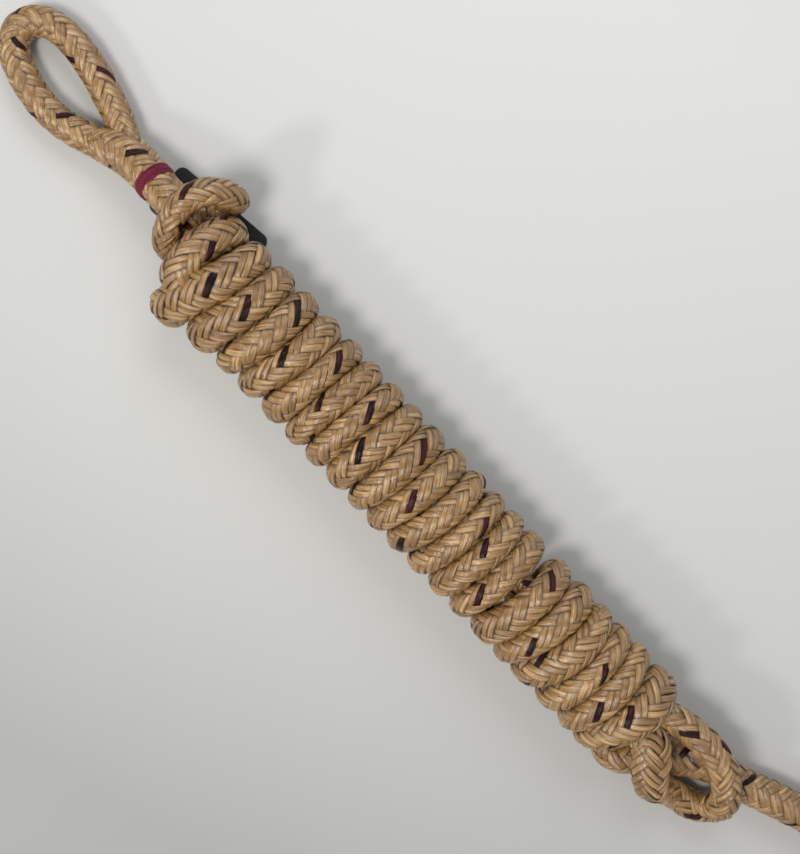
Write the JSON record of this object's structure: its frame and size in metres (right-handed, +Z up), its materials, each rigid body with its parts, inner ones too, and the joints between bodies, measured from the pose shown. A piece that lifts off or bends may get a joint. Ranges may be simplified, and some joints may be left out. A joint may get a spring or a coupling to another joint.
{
  "type": "wrapped braided rope hank",
  "caption": "Braided rope with a whipped spliced eye at each end, doubled and bound round itself into a compact wrapped hank, with a flat plastic tag tucked under its head.",
  "frame": {"origin": "centre of the base of the whole rope's bounding box, on the surface that it lies on", "axes": "+X runs along the hank from the first eye to the far eye, +Y to the side that the far eye points to, +Z up"},
  "size_m": [0.6788, 0.1144, 0.0477],
  "materials": {
    "rope_braid": "glossy tan braided polyester yarn with a dark maroon tracer yarn",
    "buried_braid": "the rope's own tapered tail, hidden inside the splice",
    "whipping_twine": "waxed crimson whipping twine",
    "tag_plastic": "satin black moulded plastic"
  },
  "bodies": {
    "hank": {"neck": "rope_braid", "core_run_out": "rope_braid", "core_run_back": "rope_braid", "head_turn": "rope_braid", "wrap_01": "rope_braid", "wrap_02": "rope_braid", "wrap_03": "rope_braid", "wrap_04": "rope_braid", "wrap_05": "rope_braid", "wrap_06": "rope_braid", "wrap_07": "rope_braid", "wrap_08": "rope_braid", "wrap_09": "rope_braid", "wrap_10": "rope_braid", "wrap_11": "rope_braid", "wrap_12": "rope_braid", "wrap_13": "rope_braid", "wrap_14": "rope_braid", "wrap_15": "rope_braid", "wrap_16": "rope_braid", "wrap_17": "rope_braid", "wrap_18": "rope_braid", "wrap_19": "rope_braid", "wrap_20": "rope_braid", "wrap_21": "rope_braid", "lock_loop": "rope_braid", "last_turn": "rope_braid", "far_neck": "rope_braid", "tag_plate": "tag_plastic"},
    "eye": {"eye_crown": "rope_braid", "eye_upper_leg": "rope_braid", "eye_lower_leg": "rope_braid", "eye_crotch": "rope_braid", "eye_throat": "rope_braid", "eye_buried_tail": "buried_braid", "eye_whipping": "whipping_twine"},
    "far_eye": {"far_throat": "rope_braid", "far_buried_tail": "buried_braid", "far_whipping": "whipping_twine", "far_crotch": "rope_braid", "far_upper_leg": "rope_braid", "far_lower_leg": "rope_braid", "far_crown": "rope_braid"}
  },
  "joints": [
    {"name": "eye_lift", "type": "hinge", "parent": "hank", "child": "eye", "pos_m": [-0.22358, -0.018, 0.03294], "axis": [0, 1, 0], "range_deg": [0, 70]},
    {"name": "far_eye_lift", "type": "hinge", "parent": "hank", "child": "far_eye", "pos_m": [0.20703, -0.00926, 0.0199], "axis": [0.3535, -0.9354, 0], "range_deg": [0, 70]}
  ]
}
